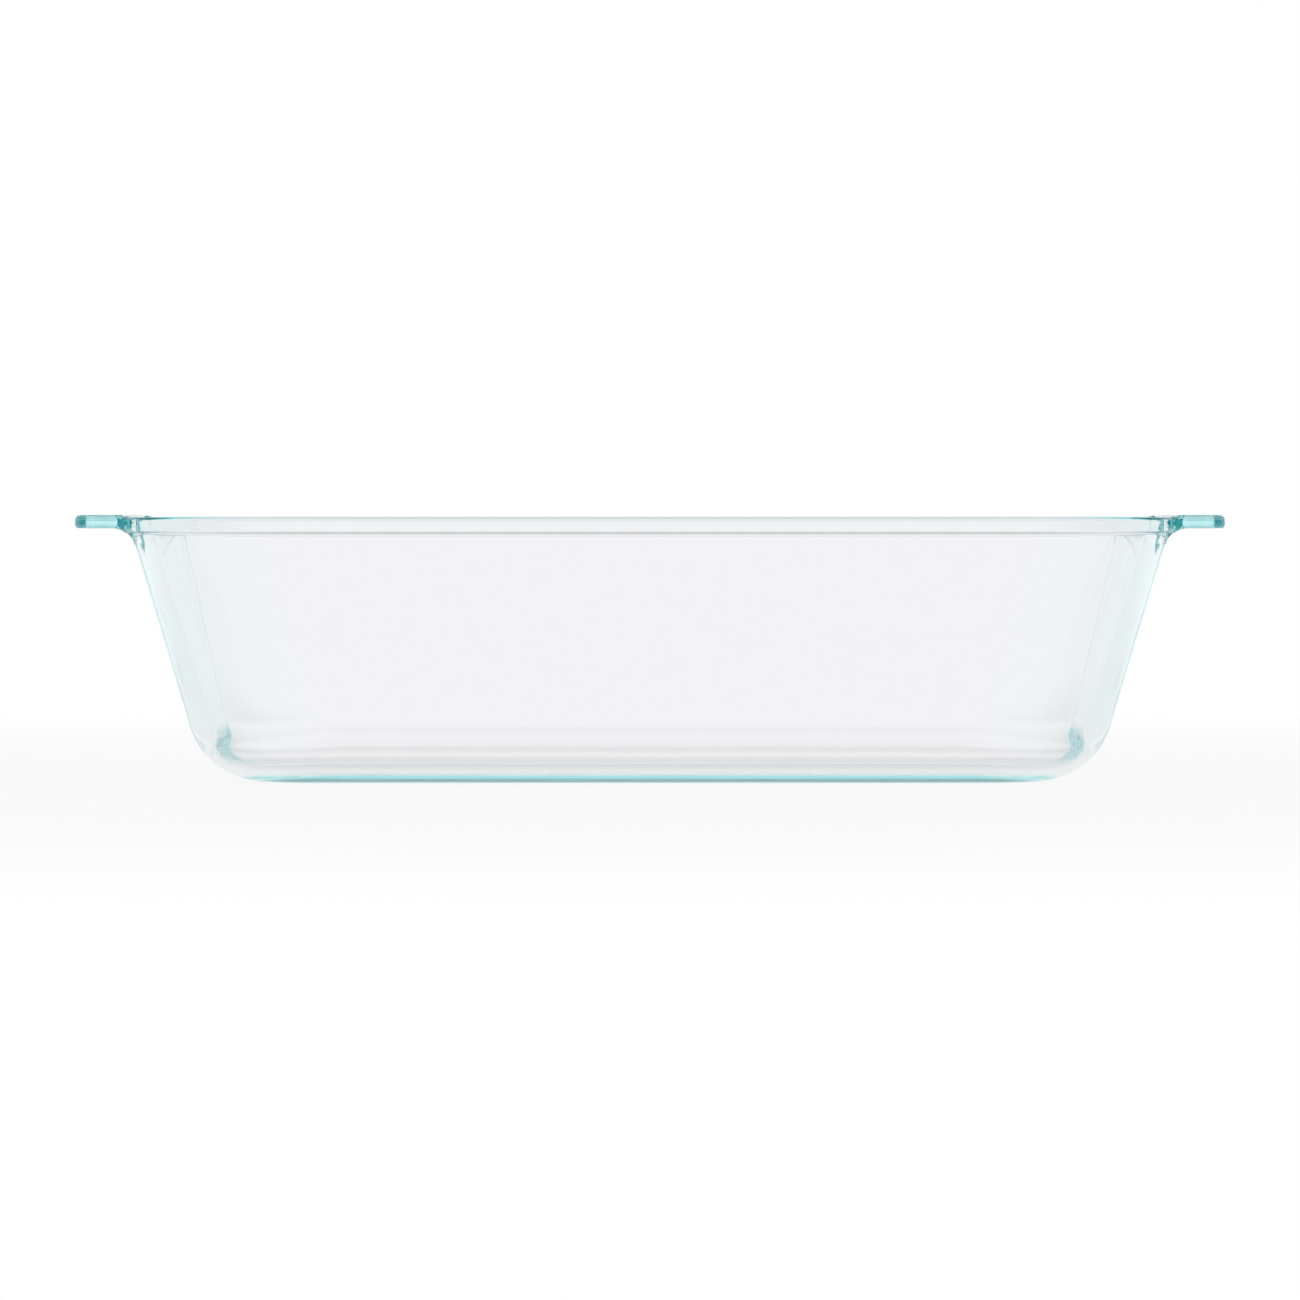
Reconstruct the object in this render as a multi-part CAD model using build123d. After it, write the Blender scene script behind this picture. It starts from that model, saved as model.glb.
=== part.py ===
from build123d import *
import math
import os

# A pressed-glass loaf dish: one piece of tinted glass with leaning walls, a
# thickened rim and a flat tab handle at each end.
# Millimetres. The origin is at the middle of the underside, +X runs along the
# dish and +Z is up.

# ---- The walls and the floor ----
RIM_LENGTH = 272.3          # over the rim, end to end, without the handles
RIM_WIDTH = 131.0           # over the rim, side to side
RIM_TOP = 69.0              # height of the rim's flat top
DRAFT = 15.5                # lean of the walls, in degrees
WALL = 5.2                  # thickness of the walls, measured level
FLOOR = 3.8                 # thickness of the floor
WALL_CORNER = 37.0          # radius of the outer walls' four leaning corners
CAVITY_CORNER = 33.0        # radius of the cavity's four leaning corners
BASE_FILLET = 20.0          # rounding between the outer walls and the underside
FLOOR_FILLET = 11.5         # rounding between the cavity's walls and its floor

# ---- The rim ----
RIM_CORNER = 37.6           # plan radius of the rim's corners
RIM_PROJECTION = 1.7        # how far the rim stands out from the wall at its lower edge
RIM_DEPTH = 3.9             # height of the rim's outer face
UPPER_EDGE = 0.9            # rounding of the rim's outer upper edge
MOUTH_EDGE = 1.6            # rounding between the cavity's walls and the rim's top
LOWER_EDGE = 0.6            # bevel of the lower edges of the rim and the handles

# ---- The handles ----
HANDLE_REACH = 13.35         # how far a handle stands out from the rim
HANDLE_WIDTH = 66.0
HANDLE_THICKNESS = 3.5
HANDLE_RISE = 0.6           # how far a handle's top stands above the rim
HANDLE_CORNER = 7.5         # plan radius of a handle's outer corners
HANDLE_EDGE = 1.3           # rounding of a handle's upper edges
HANDLE_ROOT = 3.5           # plan radius where a handle's sides run into the rim
HANDLE_UNDER = 5.8          # rounding between a handle's underside and the wall

# ---- The groove between the rim's top and a handle ----
GROOVE_INSET = 1.0          # from the rim's outer face in to the bottom of the groove
GROOVE_DEPTH = 1.4          # from the rim's top down to the point of the V
GROOVE_WIDTH = 3.2          # across the top of the V
GROOVE_RADIUS = 0.8         # rounding of the V's point and of both lips

SLOPE = math.tan(math.radians(DRAFT))
RIM_BOTTOM = RIM_TOP - RIM_DEPTH
RIM_MIDDLE = RIM_TOP - RIM_DEPTH / 2
RIM_END = RIM_LENGTH / 2
HANDLE_TOP = RIM_TOP + HANDLE_RISE
HANDLE_MIDDLE = HANDLE_TOP - HANDLE_THICKNESS / 2
HANDLE_BOTTOM = HANDLE_TOP - HANDLE_THICKNESS
HANDLE_END = RIM_END + HANDLE_REACH
CLEAR_ABOVE = HANDLE_TOP + RIM_DEPTH    # a height above all the glass, where the cutters end


def wall_half(rim_size, height):
    """Half the size of the outer wall at a height, along X or Y."""
    return rim_size / 2 - RIM_PROJECTION - SLOPE * (RIM_BOTTOM - height)


def leaning_block(low, high, inset):
    """A sharp-edged block with the walls' lean, moved in by inset from the outer walls."""
    length = 2 * (wall_half(RIM_LENGTH, low) - inset)
    width = 2 * (wall_half(RIM_WIDTH, low) - inset)
    block = extrude(Plane.XY.offset(low) * Rectangle(length, width), high - low)
    sides = block.faces().filter_by(Axis.Z, reverse=True)
    return draft(sides, Plane.XY.offset(low), -DRAFT)


def leaning_edges(block):
    """The four edges that run up the corners of a block."""
    return block.edges().filter_by(lambda edge: abs((edge @ 1 - edge @ 0).Z) > 1)


def lowest_edges(shape):
    """The level edges round the bottom of a shape."""
    return shape.edges().group_by(Axis.Z)[0]


def highest_edges(shape):
    """The level edges round the top of a shape."""
    return shape.edges().group_by(Axis.Z)[-1]


def outer_body():
    """The leaning outer walls, rounded into the underside."""
    block = leaning_block(0, RIM_MIDDLE, 0)
    block = fillet(leaning_edges(block), WALL_CORNER)
    return fillet(lowest_edges(block), BASE_FILLET)


def cavity():
    """The hollow, rounded into the floor and open above."""
    hollow = leaning_block(FLOOR, CLEAR_ABOVE, WALL)
    hollow = fillet(leaning_edges(hollow), CAVITY_CORNER)
    return fillet(lowest_edges(hollow), FLOOR_FILLET)


def rim_outline():
    """The plan of the rim's outer face."""
    return RectangleRounded(RIM_LENGTH, RIM_WIDTH, RIM_CORNER)


def rim():
    """The thickened band round the top, rounded above and bevelled below."""
    band = extrude(Plane.XY.offset(RIM_BOTTOM) * rim_outline(), RIM_DEPTH)
    band = fillet(highest_edges(band), UPPER_EDGE)
    return chamfer(lowest_edges(band), LOWER_EDGE)


def handle_plan():
    """The rim and both handles as one flat outline, with its inner corners rounded."""
    tabs = RectangleRounded(2 * HANDLE_END, HANDLE_WIDTH, HANDLE_CORNER)
    grown = offset(rim_outline() + tabs, HANDLE_ROOT)
    return offset(grown, -HANDLE_ROOT)


def handle_plates():
    """Both tabs, flat above and below, rounded above and bevelled below."""
    plate = extrude(Plane.XY.offset(HANDLE_BOTTOM) * handle_plan(), HANDLE_THICKNESS)
    plate = fillet(highest_edges(plate), HANDLE_EDGE)
    plate = chamfer(lowest_edges(plate), LOWER_EDGE)
    middle = Box(2 * (RIM_END - GROOVE_INSET), 2 * RIM_WIDTH, 2 * CLEAR_ABOVE)
    return plate - middle


def handle_root():
    """The glass under the +X handle, hollowed into a round from tab to wall."""
    low = HANDLE_BOTTOM - 2 * HANDLE_UNDER
    wall_low = wall_half(RIM_LENGTH, low)
    wall_high = wall_half(RIM_LENGTH, HANDLE_BOTTOM)
    tab_end = HANDLE_END - HANDLE_CORNER
    buried = WALL / 2
    section = Polyline(
        (wall_low - buried, low),
        (wall_low, low),
        (wall_high, HANDLE_BOTTOM),
        (tab_end, HANDLE_BOTTOM),
        (tab_end, HANDLE_MIDDLE),
        (wall_high - buried, HANDLE_MIDDLE),
        close=True,
    )
    face = make_face(Plane.XZ * section)
    inner_corner = face.vertices().sort_by_distance((wall_high, 0, HANDLE_BOTTOM))[0]
    face = fillet(inner_corner, HANDLE_UNDER)
    root = extrude(face, HANDLE_WIDTH / 2, both=True)
    arcs = root.edges().filter_by(GeomType.CIRCLE)
    return chamfer(arcs, LOWER_EDGE)


def groove():
    """The cutter for the groove between the rim's top and the +X handle."""
    centre = RIM_END - GROOVE_INSET
    lip = GROOVE_WIDTH / 2
    rim_lip = (centre - lip, RIM_TOP)
    point = (centre, RIM_TOP - GROOVE_DEPTH)
    handle_lip = (centre + lip, HANDLE_TOP)
    section = Polyline(
        (centre - 2 * lip, CLEAR_ABOVE),
        (centre - 2 * lip, RIM_TOP),
        rim_lip,
        point,
        handle_lip,
        (centre + 2 * lip, HANDLE_TOP),
        (centre + 2 * lip, CLEAR_ABOVE),
        close=True,
    )
    face = make_face(Plane.XZ * section)
    for x, z in (rim_lip, point, handle_lip):
        corner = face.vertices().sort_by_distance((x, 0, z))[0]
        face = fillet(corner, GROOVE_RADIUS)
    return extrude(face, HANDLE_WIDTH / 2, both=True)


def both_ends(piece):
    """A piece made for the +X end, with its mirror image at the other end."""
    return piece + mirror(piece, about=Plane.YZ)


def mouth_edges(dish):
    """The edges between the cavity and the rim's flat top."""
    level_faces = dish.faces().filter_by(Axis.Z)
    rim_tops = [face for face in level_faces if abs(face.center().Z - RIM_TOP) < 0.01]
    ring = max(rim_tops, key=lambda face: face.area)
    return ring.inner_wires()[0].edges()


def glass_dish():
    """The whole dish, as one piece of glass."""
    dish = outer_body() + rim() + handle_plates() + both_ends(handle_root())
    dish -= cavity()
    dish = fillet(mouth_edges(dish), MOUTH_EDGE)
    return dish - both_ends(groove())


os.makedirs("parts", exist_ok=True)
export_step(glass_dish(), "parts/glass_dish.step")
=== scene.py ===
"""A clear pressed-glass loaf dish on a pale floor, seen level from its long side."""
import math

import bmesh
import bpy
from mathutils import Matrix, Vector


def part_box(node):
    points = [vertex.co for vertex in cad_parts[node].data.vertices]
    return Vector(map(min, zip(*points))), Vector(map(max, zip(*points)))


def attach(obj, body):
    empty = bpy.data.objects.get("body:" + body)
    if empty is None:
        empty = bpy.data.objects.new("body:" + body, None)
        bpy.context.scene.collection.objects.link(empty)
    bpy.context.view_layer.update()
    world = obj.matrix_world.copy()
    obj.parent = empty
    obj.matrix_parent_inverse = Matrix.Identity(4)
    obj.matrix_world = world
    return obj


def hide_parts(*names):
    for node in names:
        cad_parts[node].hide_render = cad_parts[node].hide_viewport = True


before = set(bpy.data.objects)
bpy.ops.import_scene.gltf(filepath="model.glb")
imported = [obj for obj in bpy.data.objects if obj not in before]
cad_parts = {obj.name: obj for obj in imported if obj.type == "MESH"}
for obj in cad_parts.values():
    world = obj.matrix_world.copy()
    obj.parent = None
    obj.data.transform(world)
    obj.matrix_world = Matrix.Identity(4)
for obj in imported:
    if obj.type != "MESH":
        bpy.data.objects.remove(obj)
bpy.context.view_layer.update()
low_corner, high_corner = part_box("glass_dish")

MM = 0.001                    # one millimetre, in Blender's metres

# ---- The dish, in millimetres and degrees, with the part's values ----
HANDLE_END = high_corner.x / MM
RIM_WIDTH = 2 * high_corner.y / MM
HANDLE_TOP = high_corner.z / MM
HANDLE_RISE = 0.6
HANDLE_REACH = 13.35
HANDLE_WIDTH = 66.0
HANDLE_THICKNESS = 3.5
HANDLE_CORNER = 7.5
HANDLE_ROOT = 3.5
HANDLE_UNDER = 5.8
RIM_CORNER = 37.6
RIM_PROJECTION = 1.7
RIM_DEPTH = 3.9
UPPER_EDGE = 0.9
MOUTH_EDGE = 1.6
LOWER_EDGE = 0.6              # a round here, where the part has a bevel
DRAFT = 15.5
WALL = 5.2
FLOOR = 3.8
WALL_CORNER = 37.0
BASE_FILLET = 20.0
CAVITY_CORNER = 33.0
FLOOR_FILLET = 11.5
GROOVE_INSET = 1.0
GROOVE_DEPTH = 1.4
GROOVE_WIDTH = 3.2

# ---- Roundings that are a little fuller than the part's, in millimetres ----
HANDLE_EDGE = 1.5             # a handle's upper edges
HANDLE_LOWER_EDGE = 0.9       # a handle's lower edges
LEDGE_ROUND = 1.05            # reach of the round between the rim's lower face and the wall
LEDGE_SHARE = 0.9             # most of the lower face's width that this round may take up

RIM_TOP = HANDLE_TOP - HANDLE_RISE
RIM_BOTTOM = RIM_TOP - RIM_DEPTH
RIM_END = HANDLE_END - HANDLE_REACH
RIM_SIDE = RIM_WIDTH / 2
HANDLE_SIDE = HANDLE_WIDTH / 2
HANDLE_BOTTOM = HANDLE_TOP - HANDLE_THICKNESS
GROOVE_END = RIM_END - GROOVE_INSET
LEAN = math.radians(DRAFT)
FOOT_SETBACK = BASE_FILLET * math.tan((math.pi / 2 - LEAN) / 2)   # from sharp foot to flat underside
AIR_GAP = 0.1                 # mm of air under the glass, so that light can travel along its floor

# ---- How finely the glass is divided ----
GUARD = 0.03                  # mm from a flat's edge to the ring that keeps the flat's shading flat
ROUND_STEPS = 40              # points on a section's two large rounds
EDGE_STEPS = 10               # and on its small ones
WALL_STEPS = 16               # on each face of the wall
TOP_STEPS = 34                # across the rim's top and a handle's
UNDER_STEPS = 15              # the round under a handle
UNDER_FLAT_STEPS = 5          # the level part of a handle's underside
LEDGE_STEPS = 10              # the round under the rim
TIP_STATIONS = 12             # sections along half of a handle's tip
HANDLE_CORNER_STATIONS = 14
HANDLE_SIDE_STATIONS = 3
ROOT_STATIONS = 14
CORNER_STATIONS = 56
SIDE_STATIONS = 20            # and along half of the long side

# ---- Where one form goes over into another ----
ROOT_BLEND_START = 0.45       # share of the way round a handle's root at which the rim's form sets in
ROOT_BLEND_LENGTH = 0.4       # and the share over which it does
GROOVE_BLEND = 1.0            # mm over which a groove fades out at its ends
GROOVE_POINT = 0.3            # softness of the groove's V, in halves of its width
GROOVE_LIPS = 0.12            # softness of its two lips
GROOVE_FILL = 1.25            # makes up for depth that the softened V loses
GROOVE_MARGIN = 0.5           # mm beyond each lip in which the points still lie close
GROOVE_LAST = 0.98            # share of the way across the top by which they end


def spread(count, start=0.0, end=1.0):
    """Evenly spaced values, both ends included."""
    return [start + (end - start) * i / (count - 1) for i in range(count)]


def guarded(count, length):
    """Fractions along a flat of the given length, with one close to each end."""
    edge = min(0.25, GUARD / length)
    return [0.0, edge] + spread(count, edge, 1.0 - edge)[1:-1] + [1.0 - edge, 1.0]


def mix(a, b, share):
    return a + (b - a) * share


def smooth(value):
    """Eases from 0 to 1 while the value goes from 0 to 1."""
    value = min(1.0, max(0.0, value))
    return value * value * (3.0 - 2.0 * value)


class Station:
    """One place round the dish, in the quarter between the +X end and the +Y side.

    x and y say how far it lies towards the corner along the side and along the
    end, from 0 at the middle to 1. turn goes from 0 to 1 round the corner.
    """

    def __init__(self, x, y, turn):
        self.x = x
        self.y = y
        self.turn = turn

    def plan_normal(self):
        angle = self.turn * math.pi / 2
        return Vector((math.cos(angle), math.sin(angle), 0.0))

    def at_handle(self):
        """Whether it lies on the handle or on the handle's root."""
        return self.x == 1.0 and self.turn < ROOT_TURN


class LeaningWall:
    """Four flat walls that lean out, set in from the outside, with round corners."""

    def __init__(self, inset, radius):
        self.inset = inset
        self.radius = radius

    def normal(self, station):
        """The outward normal of the wall at a station."""
        end = Vector((math.cos(LEAN), 0.0, -math.sin(LEAN)))
        side = Vector((0.0, math.cos(LEAN), -math.sin(LEAN)))
        return end.slerp(side, station.turn)

    def point(self, station, height, depth=0.0):
        """The wall's point at a height, or the one at a depth behind the wall."""
        normal = self.normal(station)
        reach = self.radius - depth
        axis_height = height - reach * normal.z
        back = self.inset + self.radius / math.cos(LEAN)
        x = station.x * (half_size(RIM_END, axis_height) - back) + reach * normal.x
        y = station.y * (half_size(RIM_SIDE, axis_height) - back) + reach * normal.y
        return Vector((x, y, height))

    def points(self, station, start, end):
        """The wall's points from one height to another."""
        shares = guarded(WALL_STEPS, abs(end - start))
        return [self.point(station, mix(start, end, share)) for share in shares]


def half_size(rim_half, height):
    """Half the size of the outer wall at a height."""
    return rim_half - RIM_PROJECTION - math.tan(LEAN) * (RIM_BOTTOM - height)


OUTER = LeaningWall(0.0, WALL_CORNER)
INNER = LeaningWall(WALL, CAVITY_CORNER)


# ---- The plan of the handle, from the middle of its tip to the rim's corner ----
TIP = HANDLE_SIDE - HANDLE_CORNER
CORNER_ARC = HANDLE_CORNER * math.pi / 2
ROOT_ANGLE = math.asin(
    (HANDLE_SIDE + HANDLE_ROOT - RIM_SIDE + RIM_CORNER) / (RIM_CORNER + HANDLE_ROOT)
)
ROOT_X = RIM_END - RIM_CORNER + (RIM_CORNER + HANDLE_ROOT) * math.cos(ROOT_ANGLE)
ROOT_Y = HANDLE_SIDE + HANDLE_ROOT
ROOT_TURN = ROOT_ANGLE / (math.pi / 2)
SIDE_LINE = HANDLE_END - HANDLE_CORNER - ROOT_X
HANDLE_RUN = TIP + CORNER_ARC + SIDE_LINE


def rim_outline(station):
    """The plan point on the rim's outer face at a station."""
    normal = station.plan_normal()
    x = station.x * (RIM_END - RIM_CORNER) + RIM_CORNER * normal.x
    y = station.y * (RIM_SIDE - RIM_CORNER) + RIM_CORNER * normal.y
    return Vector((x, y, 0.0))


def outline(station):
    """The plan point and the outward direction of the outermost face at a station."""
    if not station.at_handle():
        return rim_outline(station), station.plan_normal()
    if station.turn > 0.0:
        share = station.turn / ROOT_TURN
        angle = mix(-math.pi / 2, ROOT_ANGLE - math.pi, share)
        out = -Vector((math.cos(angle), math.sin(angle), 0.0))
        return Vector((ROOT_X, ROOT_Y, 0.0)) - HANDLE_ROOT * out, out
    run = station.y * HANDLE_RUN
    if run <= TIP:
        return Vector((HANDLE_END, run, 0.0)), Vector((1.0, 0.0, 0.0))
    if run <= TIP + CORNER_ARC:
        angle = (run - TIP) / HANDLE_CORNER
        out = Vector((math.cos(angle), math.sin(angle), 0.0))
        centre = Vector((HANDLE_END - HANDLE_CORNER, TIP, 0.0))
        return centre + HANDLE_CORNER * out, out
    along = run - TIP - CORNER_ARC
    return Vector((HANDLE_END - HANDLE_CORNER - along, HANDLE_SIDE, 0.0)), Vector((0.0, 1.0, 0.0))


def rim_share(station):
    """How far the section has gone from the handle's form, 0, to the rim's, 1."""
    if not station.at_handle():
        return 1.0
    return smooth((station.turn / ROOT_TURN - ROOT_BLEND_START) / ROOT_BLEND_LENGTH)


# ---- The top, as a height over the plan ----
def top_height(x, y):
    """The height of the upper surface: rim, groove and raised handle."""
    across = (x - GROOVE_END) / (GROOVE_WIDTH / 2)
    rise = HANDLE_RISE * smooth(0.5 + across / 2)
    valley = 1.0 - math.hypot(across, GROOVE_POINT)
    valley = (valley + math.hypot(valley, GROOVE_LIPS)) / 2
    fade = smooth((HANDLE_SIDE - abs(y)) / GROOVE_BLEND)
    return RIM_TOP + rise - GROOVE_DEPTH * GROOVE_FILL * valley * fade


# ---- The undersides of the handle and of the rim ----
UNDER_Z = HANDLE_BOTTOM - HANDLE_UNDER
WALL_TOUCH_Z = UNDER_Z + HANDLE_UNDER * math.sin(LEAN)
WALL_TOUCH_X = half_size(RIM_END, WALL_TOUCH_Z)
UNDER_X = WALL_TOUCH_X + HANDLE_UNDER * math.cos(LEAN)


def under_height(x):
    """The height of the handle's underside, level and then rounded down to the wall."""
    if x >= UNDER_X:
        return HANDLE_BOTTOM
    across = min(HANDLE_UNDER, UNDER_X - x)
    return UNDER_Z + math.sqrt(HANDLE_UNDER ** 2 - across ** 2)


def handle_underside(station, start):
    """From the plan point start, along the underside and round to the wall."""
    touch = OUTER.point(station, WALL_TOUCH_Z)
    length = start.x - touch.x
    flat_length = max(start.x - UNDER_X, 0.0)
    lines = [start.x - flat_length * share for share in spread(UNDER_FLAT_STEPS)[:-1]]
    first = math.acos(min(1.0, max(0.0, (UNDER_X - (start.x - flat_length)) / HANDLE_UNDER)))
    for angle in spread(UNDER_STEPS, first, LEAN):
        lines.append(UNDER_X - HANDLE_UNDER * math.cos(angle))
    points = []
    for x in lines:
        share = (start.x - x) / length
        points.append(Vector((x, mix(start.y, touch.y, share), under_height(x))))
    return points


def rim_underside(station, start):
    """From the plan point start, in under the rim and round to the wall.

    It has as many points as the handle's underside, so that the two can be mixed.
    """
    wall = OUTER.point(station, RIM_BOTTOM)
    flat_start = Vector((start.x, start.y, RIM_BOTTOM))
    width = (flat_start - wall).length
    reach = min(LEDGE_ROUND, LEDGE_SHARE * width)
    ledge = wall.lerp(flat_start, reach / width)
    low = OUTER.point(station, RIM_BOTTOM - reach)
    flat_count = UNDER_FLAT_STEPS - 1 + UNDER_STEPS - LEDGE_STEPS
    points = [flat_start.lerp(ledge, share) for share in guarded(flat_count - 2, 1.0)]
    for share in spread(LEDGE_STEPS + 1)[1:]:
        points.append(ledge.lerp(wall, share).lerp(wall.lerp(low, share), share))
    return points


def underside(station, start):
    """Both forms of underside, eased from one to the other round the handle's root."""
    share = rim_share(station)
    if share == 0.0:
        return handle_underside(station, start)
    rim = rim_underside(station, start)
    if share == 1.0:
        return rim
    handle = handle_underside(station, start)
    return [a.lerp(b, share) for a, b in zip(handle, rim)]


# ---- One profile: from the middle of the cavity's floor, over the rim, to the underside ----
def floor_round(station):
    """The round between the cavity's floor and its wall, from the floor up."""
    normal = INNER.normal(station)
    centre = INNER.point(station, FLOOR + FLOOR_FILLET, FLOOR_FILLET)
    out = Vector((normal.x, normal.y, 0.0)).normalized()
    points = []
    for angle in spread(ROUND_STEPS, math.pi / 2, math.asin(-normal.z)):
        lift = Vector((0.0, 0.0, -FLOOR_FILLET * math.sin(angle)))
        points.append(centre + out * FLOOR_FILLET * math.cos(angle) + lift)
    return points


def base_round(station):
    """The round between the outer wall and the underside, from the wall down."""
    normal = OUTER.normal(station)
    centre = OUTER.point(station, BASE_FILLET, BASE_FILLET)
    out = Vector((normal.x, normal.y, 0.0)).normalized()
    points = []
    for angle in spread(ROUND_STEPS, math.asin(-normal.z), math.pi / 2):
        drop = Vector((0.0, 0.0, -BASE_FILLET * math.sin(angle)))
        points.append(centre + out * BASE_FILLET * math.cos(angle) + drop)
    return points


def mouth_round(station):
    """The round between the mouth and the rim's top, from the mouth up."""
    normal = INNER.normal(station)
    centre = INNER.point(station, RIM_TOP - MOUTH_EDGE, -MOUTH_EDGE)
    out = Vector((normal.x, normal.y, 0.0)).normalized()
    points = []
    for angle in spread(EDGE_STEPS, math.asin(-normal.z), math.pi / 2):
        lift = Vector((0.0, 0.0, MOUTH_EDGE * math.sin(angle)))
        points.append(centre - out * MOUTH_EDGE * math.cos(angle) + lift)
    return points


def top_shares(station, start, end):
    """Fractions along the top, gathered where the groove crosses it."""
    even = guarded(TOP_STEPS, (end - start).length)
    if not station.at_handle():
        return even
    length = end.x - start.x
    reach = GROOVE_WIDTH / 2 + GROOVE_MARGIN
    before = (GROOVE_END - reach - start.x) / length
    after = min(GROOVE_LAST, (GROOVE_END + reach - start.x) / length)
    near = guarded(3, before * length)[:-1]
    far = guarded(3, (1.0 - after) * length)
    crossing = spread(len(even) - len(near) - len(far) + 1, before, after)[:-1]
    gathered = [share * before for share in near] + crossing
    gathered += [mix(after, 1.0, share) for share in far]
    return [mix(a, b, station.turn / ROOT_TURN) for a, b in zip(gathered, even)]


def top_strip(station, start, edge):
    """From the mouth over the rim's top and the groove to the outer edge."""
    points = []
    for share in top_shares(station, start, edge):
        point = start.lerp(edge, share)
        point.z = top_height(point.x, point.y)
        points.append(point)
    return points


def outer_edge(station):
    """The rounded upper edge, the outer face and the rounded lower edge."""
    face, out = outline(station)
    share = rim_share(station)
    lower = mix(HANDLE_LOWER_EDGE, LOWER_EDGE, share)
    start = face - out * lower
    bottom = mix(under_height(start.x), RIM_BOTTOM, share)
    radius = mix(HANDLE_EDGE, UPPER_EDGE, share)
    edge = face - out * radius
    top = top_height(edge.x, edge.y)
    points = []
    for angle in spread(EDGE_STEPS, 0.0, math.pi / 2):
        drop = radius * (1.0 - math.cos(angle))
        point = edge + out * radius * math.sin(angle)
        points.append(Vector((point.x, point.y, top - drop)))
    for face_share in guarded(2, RIM_DEPTH)[1:-1]:
        height = mix(top - radius, bottom + lower, face_share)
        points.append(Vector((face.x, face.y, height)))
    for angle in spread(EDGE_STEPS, 0.0, math.pi / 2):
        point = start + out * lower * math.cos(angle)
        points.append(Vector((point.x, point.y, bottom + lower * (1.0 - math.sin(angle)))))
    return points


def profile(station):
    """All the points of one section of the glass, from the cavity's floor outwards."""
    inward = Vector((GUARD * station.x, GUARD * station.y, 0.0))
    low_round = floor_round(station)
    lip = mouth_round(station)
    edge = outer_edge(station)
    under = underside(station, edge[-1])
    base = base_round(station)
    points = [low_round[0] - inward] + low_round
    points += INNER.points(station, low_round[-1].z, lip[0].z)[1:-1]
    points += lip
    points += top_strip(station, lip[-1], edge[0])[1:-1]
    points += edge
    points += under[1:]
    points += OUTER.points(station, under[-1].z, base[0].z)[1:-1]
    points += base
    return points + [base[-1] - inward]


def quarter():
    """The stations from the middle of the +X end round to the middle of the +Y side."""
    runs = [TIP * share for share in guarded(TIP_STATIONS, TIP)]
    runs += [TIP + CORNER_ARC * share for share in spread(HANDLE_CORNER_STATIONS)[1:]]
    side_shares = guarded(HANDLE_SIDE_STATIONS, SIDE_LINE)[1:]
    runs += [TIP + CORNER_ARC + SIDE_LINE * share for share in side_shares]
    stations = [Station(1.0, run / HANDLE_RUN, 0.0) for run in runs]
    stations += [Station(1.0, 1.0, ROOT_TURN * share) for share in spread(ROOT_STATIONS)[1:]]
    stations += [Station(1.0, 1.0, turn) for turn in spread(CORNER_STATIONS, ROOT_TURN, 1.0)[1:]]
    stations += [Station(1.0 - share, 1.0, 1.0) for share in guarded(SIDE_STATIONS, RIM_END)[1:]]
    return stations


def mirrored(x, y, sections):
    """The sections with their x and y multiplied by 1 or -1."""
    return [[Vector((x * p.x, y * p.y, p.z)) for p in section] for section in sections]


def loop_profiles():
    """Profiles all the way round, anticlockwise from the +X end."""
    first = [profile(station) for station in quarter()]
    backwards = first[-2::-1]
    around = first + mirrored(-1, 1, backwards)
    around += mirrored(-1, -1, first[1:])
    around += mirrored(1, -1, backwards[:-1])
    return around


def glass_mesh():
    """The closed skin of the dish."""
    shape = bmesh.new()
    rows = [[shape.verts.new(point * MM) for point in section] for section in loop_profiles()]
    count = len(rows[0])
    for here, following in zip(rows, rows[1:] + rows[:1]):
        for i in range(count - 1):
            shape.faces.new((here[i], following[i], following[i + 1], here[i + 1]))
    shape.faces.new([row[0] for row in rows])
    shape.faces.new([row[-1] for row in reversed(rows)])
    bmesh.ops.remove_doubles(shape, verts=shape.verts, dist=1e-7)
    bmesh.ops.recalc_face_normals(shape, faces=shape.faces)
    mesh = bpy.data.meshes.new("glass_dish")
    shape.to_mesh(mesh)
    shape.free()
    mesh.shade_smooth()
    return mesh


# ---- Light ----
# The world's fades go by a direction's upward part, 1 straight up, or its backward part along +Y.
ROOM = 0.8                    # brightness of the room round the dish, which is 1 at the horizon
ROOM_FADE = (0.0, 0.15)       # upwards, from the horizon to ROOM
BEHIND = 0.3                  # what is left of it high up behind the dish
BEHIND_FADE = (0.25, 0.55)    # backwards, into the part that BEHIND dims
BEHIND_RISE = (0.35, 0.65)    # upwards, into the same part
OVERHEAD = 0.3                # what is left of it straight above
OVERHEAD_RISE = (0.75, 0.95)  # upwards, into that part

# The floor's size and its fades, by distance from the dish's middle, are in metres.
FLOOR_HALF = 20.0
FLOOR_GREY = 0.9
FLOOR_ROUGHNESS = 0.8
PAINTED_NEAR_SHADE = 0.9              # painted shade: brightness of the floor's glow beside the dish, seen through the glass
NEAR_SHADE_FADE = (0.2, 0.45)
SEEN_FLOOR = 0.9              # share of the plain backdrop in the floor that the camera sees
SEEN_FADE = (0.25, 0.6)
PAINTED_FOOT_SHADOW = 0.76              # painted shadow: brightness of the floor's glow under the dish, seen through the glass
FOOT_SHADOW_FADE = (-25.0, 8.0)      # mm, from inside to outside the edge of the flat underside, over which the painted shadow fades
FOOT_SHADOW_CORNER = 30.0            # mm of rounding at the corners of the painted shadow
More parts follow.
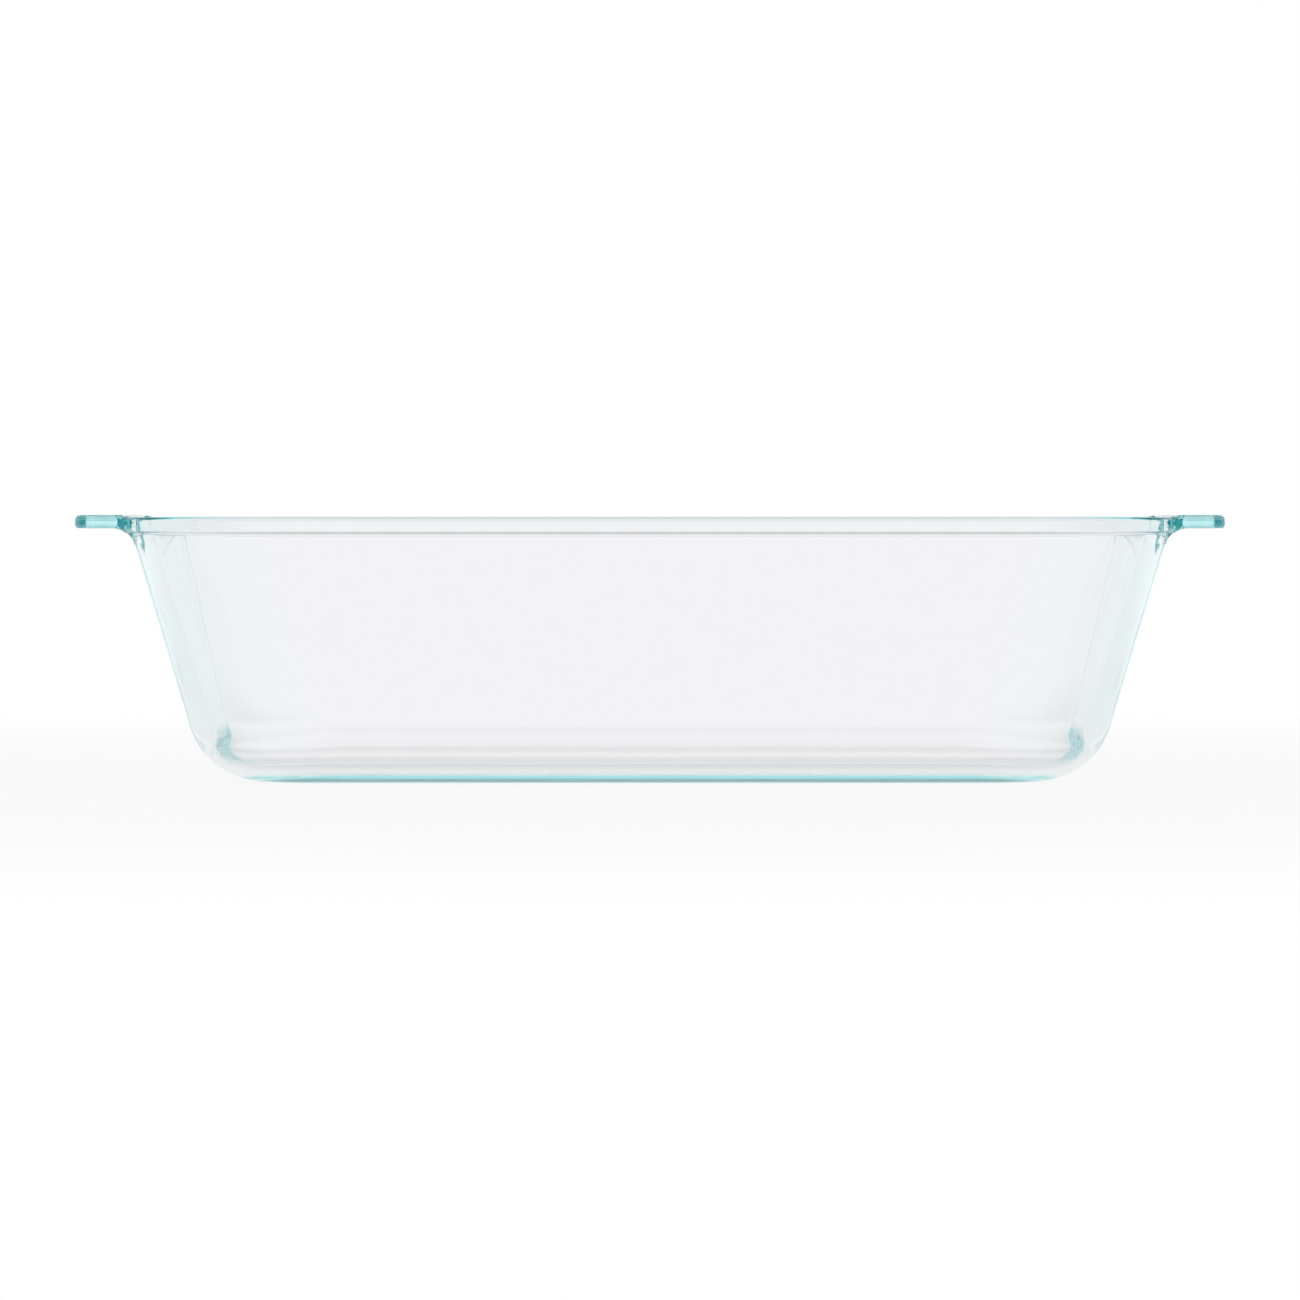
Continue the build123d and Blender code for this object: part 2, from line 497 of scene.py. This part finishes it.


# ---- Materials ----
CLEAR = (1.0, 0.957, 0.966, 1.0)        # slightly warm, to offset the tint in the thin walls
GLASS_INDEX = 1.474
TINT = (0.0, 0.88, 0.9, 1.0)            # what long ways through the glass turn to
TINT_DENSITY = 10.0
RIPPLE = 0.3                            # mm of unevenness left by the mould on the glass
RIPPLE_SCALE = 55.0
RIPPLE_STRENGTH = 0.3
WORN_ROUGHNESS = 0.03                   # in the spots that wear has dulled
WORN_SCALE = 140.0
WORN_FADE = (0.58, 0.75)                # values of the noise between which a spot sets in


def new_material(name):
    material = bpy.data.materials.new(name)
    material.use_nodes = True
    return material, material.node_tree.nodes, material.node_tree.links


def math_node(nodes, links, operation, *values):
    """A maths node, with links or plain numbers for its inputs."""
    node = nodes.new("ShaderNodeMath")
    node.operation = operation
    for socket, value in zip(node.inputs, values):
        if isinstance(value, float):
            socket.default_value = value
        else:
            links.new(value, socket)
    return node.outputs["Value"]


def eased(nodes, links, value, low, high, start, end):
    """Goes smoothly from start to end while the value goes from low to high."""
    step = nodes.new("ShaderNodeMapRange")
    step.interpolation_type = "SMOOTHSTEP"
    step.inputs["From Min"].default_value = low
    step.inputs["From Max"].default_value = high
    step.inputs["To Min"].default_value = start
    step.inputs["To Max"].default_value = end
    links.new(value, step.inputs["Value"])
    return step.outputs["Result"]


def glass_material():
    """Clear glass that looks teal where the light has come a long way through it."""
    material, nodes, links = new_material("glass")
    shader = nodes["Principled BSDF"]
    shader.inputs["Base Color"].default_value = CLEAR
    shader.inputs["IOR"].default_value = GLASS_INDEX
    shader.inputs["Transmission Weight"].default_value = 1.0
    coordinates = nodes.new("ShaderNodeTexCoord")
    waves = nodes.new("ShaderNodeTexNoise")
    waves.inputs["Scale"].default_value = RIPPLE_SCALE
    waves.inputs["Detail"].default_value = 0.0
    links.new(coordinates.outputs["Object"], waves.inputs["Vector"])
    ripple = nodes.new("ShaderNodeBump")
    ripple.inputs["Strength"].default_value = RIPPLE_STRENGTH
    ripple.inputs["Distance"].default_value = RIPPLE * MM
    links.new(waves.outputs["Fac"], ripple.inputs["Height"])
    links.new(ripple.outputs["Normal"], shader.inputs["Normal"])
    wear = nodes.new("ShaderNodeTexNoise")
    wear.inputs["Scale"].default_value = WORN_SCALE
    wear.inputs["Detail"].default_value = 1.0
    links.new(coordinates.outputs["Object"], wear.inputs["Vector"])
    dulled = eased(nodes, links, wear.outputs["Fac"], *WORN_FADE, 0.0, WORN_ROUGHNESS)
    links.new(dulled, shader.inputs["Roughness"])
    depth = nodes.new("ShaderNodeVolumeAbsorption")
    depth.inputs["Color"].default_value = TINT
    depth.inputs["Density"].default_value = TINT_DENSITY
    links.new(depth.outputs["Volume"], nodes["Material Output"].inputs["Volume"])
    return material


def beyond_flat_foot(nodes, links, position):
    """How far a point of the floor lies outside the dish's flat underside, where the painted shadow
    fades.
    """
    parts = nodes.new("ShaderNodeSeparateXYZ")
    links.new(position, parts.inputs["Vector"])
    flat_x = (half_size(RIM_END, 0.0) - FOOT_SETBACK) * MM
    flat_y = (half_size(RIM_SIDE, 0.0) - FOOT_SETBACK) * MM
    across_x = math_node(nodes, links, "ABSOLUTE", parts.outputs["X"])
    across_y = math_node(nodes, links, "ABSOLUTE", parts.outputs["Y"])
    beyond_x = math_node(nodes, links, "SUBTRACT", across_x, flat_x)
    beyond_y = math_node(nodes, links, "SUBTRACT", across_y, flat_y)
    return math_node(nodes, links, "SMOOTH_MAX", beyond_x, beyond_y, FOOT_SHADOW_CORNER * MM)


def floor_material():
    """A pale floor that turns as white as the backdrop far off.

    Near the dish the camera sees mostly plain white, and a little of the floor's
    own shading with the dish's shadow. The glass sees a glow with a painted
    shadow and painted shade in it, dimmer under and beside the dish.
    """
    material, nodes, links = new_material("floor")
    shader = nodes["Principled BSDF"]
    shader.inputs["Base Color"].default_value = (FLOOR_GREY, FLOOR_GREY, FLOOR_GREY, 1.0)
    shader.inputs["Roughness"].default_value = FLOOR_ROUGHNESS
    geometry = nodes.new("ShaderNodeNewGeometry")
    position = geometry.outputs["Position"]
    distance = nodes.new("ShaderNodeVectorMath")
    distance.operation = "LENGTH"
    links.new(position, distance.inputs[0])
    away = distance.outputs["Value"]
    beyond = beyond_flat_foot(nodes, links, position)
    foot_inside, foot_outside = [edge * MM for edge in FOOT_SHADOW_FADE]
    # painted shadow: the glass sees the floor's glow dimmer under the dish's flat underside
    under = eased(nodes, links, beyond, foot_inside, foot_outside, PAINTED_FOOT_SHADOW, 1.0)
    # painted shade: the glass sees the floor's glow a little dimmer round the dish
    near = eased(nodes, links, away, *NEAR_SHADE_FADE, PAINTED_NEAR_SHADE, 1.0)
    # the glow that the glass sees, with the painted shadow and the painted shade
    glow_with_painted_shade = math_node(nodes, links, "MULTIPLY", under, near)
    rays = nodes.new("ShaderNodeLightPath")
    strength = math_node(nodes, links, "MAXIMUM", rays.outputs["Is Camera Ray"], glow_with_painted_shade)
    glow = nodes.new("ShaderNodeEmission")
    links.new(strength, glow.inputs["Strength"])
    plain = eased(nodes, links, away, *SEEN_FADE, SEEN_FLOOR, 1.0)
    bent = math_node(
        nodes, links, "MAXIMUM", rays.outputs["Is Glossy Ray"], rays.outputs["Is Transmission Ray"]
    )
    share = math_node(nodes, links, "MAXIMUM", plain, bent)
    both = nodes.new("ShaderNodeMixShader")
    links.new(share, both.inputs["Fac"])
    links.new(shader.outputs["BSDF"], both.inputs[1])
    links.new(glow.outputs["Emission"], both.inputs[2])
    links.new(both.outputs["Shader"], nodes["Material Output"].inputs["Surface"])
    return material


# ---- The scene ----
CAMERA_DISTANCE = 1.76        # metres, in front of the dish's middle
CAMERA_HEIGHT = 0.072         # just above the rim
AIM_HEIGHT = 0.0339           # of the point that it looks at
VIEW_WIDTH = 0.343            # metres that the picture spans at the dish's middle
SENSOR_WIDTH = 36.0           # mm
LIGHT_BOUNCES = 64            # light turns many times in the handles and along the floor


def add_object(name, mesh):
    thing = bpy.data.objects.new(name, mesh)
    bpy.context.scene.collection.objects.link(thing)
    return thing


def add_dish():
    dish = add_object("dish", glass_mesh())
    dish.data.materials.append(glass_material())
    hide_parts("glass_dish")
    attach(dish, "root")
    return dish


def add_floor():
    level = -AIR_GAP * MM
    signs = [(-1, -1), (1, -1), (1, 1), (-1, 1)]
    corners = [(x * FLOOR_HALF, y * FLOOR_HALF, level) for x, y in signs]
    mesh = bpy.data.meshes.new("floor")
    mesh.from_pydata(corners, [], [(0, 1, 2, 3)])
    floor = add_object("floor", mesh)
    floor.data.materials.append(floor_material())
    return floor


def light_world():
    """A white backdrop for the camera, and for all else a room that is dimmer higher up."""
    world = bpy.data.worlds.new("studio")
    world.use_nodes = True
    bpy.context.scene.world = world
    nodes, links = world.node_tree.nodes, world.node_tree.links
    backdrop = nodes["Background"]
    backdrop.inputs["Color"].default_value = (1.0, 1.0, 1.0, 1.0)
    backdrop.inputs["Strength"].default_value = 1.0
    room = nodes.new("ShaderNodeBackground")
    room.inputs["Color"].default_value = (1.0, 1.0, 1.0, 1.0)
    coordinates = nodes.new("ShaderNodeTexCoord")
    parts = nodes.new("ShaderNodeSeparateXYZ")
    links.new(coordinates.outputs["Generated"], parts.inputs["Vector"])
    behind = eased(nodes, links, parts.outputs["Y"], *BEHIND_FADE, 0.0, 1.0)
    raised = eased(nodes, links, parts.outputs["Z"], *BEHIND_RISE, 0.0, 1.0 - BEHIND)
    taken = math_node(nodes, links, "MULTIPLY", behind, raised)
    left = math_node(nodes, links, "SUBTRACT", 1.0, taken)
    above = eased(nodes, links, parts.outputs["Z"], *OVERHEAD_RISE, 1.0, OVERHEAD)
    round_about = eased(nodes, links, parts.outputs["Z"], *ROOM_FADE, 1.0, ROOM)
    upper = math_node(nodes, links, "MULTIPLY", left, above)
    strength = math_node(nodes, links, "MULTIPLY", upper, round_about)
    links.new(strength, room.inputs["Strength"])
    rays = nodes.new("ShaderNodeLightPath")
    both = nodes.new("ShaderNodeMixShader")
    links.new(rays.outputs["Is Camera Ray"], both.inputs["Fac"])
    links.new(room.outputs["Background"], both.inputs[1])
    links.new(backdrop.outputs["Background"], both.inputs[2])
    links.new(both.outputs["Shader"], nodes["World Output"].inputs["Surface"])


def add_camera():
    """The camera, just above the rim and square to the long side."""
    data = bpy.data.cameras.new("camera")
    camera = add_object("camera", data)
    data.sensor_width = SENSOR_WIDTH
    data.lens = SENSOR_WIDTH * CAMERA_DISTANCE / VIEW_WIDTH
    camera.location = (0.0, -CAMERA_DISTANCE, CAMERA_HEIGHT)
    aim = Vector((0.0, 0.0, AIM_HEIGHT))
    camera.rotation_euler = (aim - camera.location).to_track_quat("-Z", "Y").to_euler()
    bpy.context.scene.camera = camera


def set_render():
    scene = bpy.context.scene
    scene.view_settings.view_transform = "Standard"
    scene.cycles.max_bounces = LIGHT_BOUNCES
    scene.cycles.transmission_bounces = LIGHT_BOUNCES
    scene.cycles.glossy_bounces = LIGHT_BOUNCES
    scene.cycles.caustics_reflective = True
    scene.cycles.caustics_refractive = True


add_dish()
add_floor()
light_world()
add_camera()
set_render()
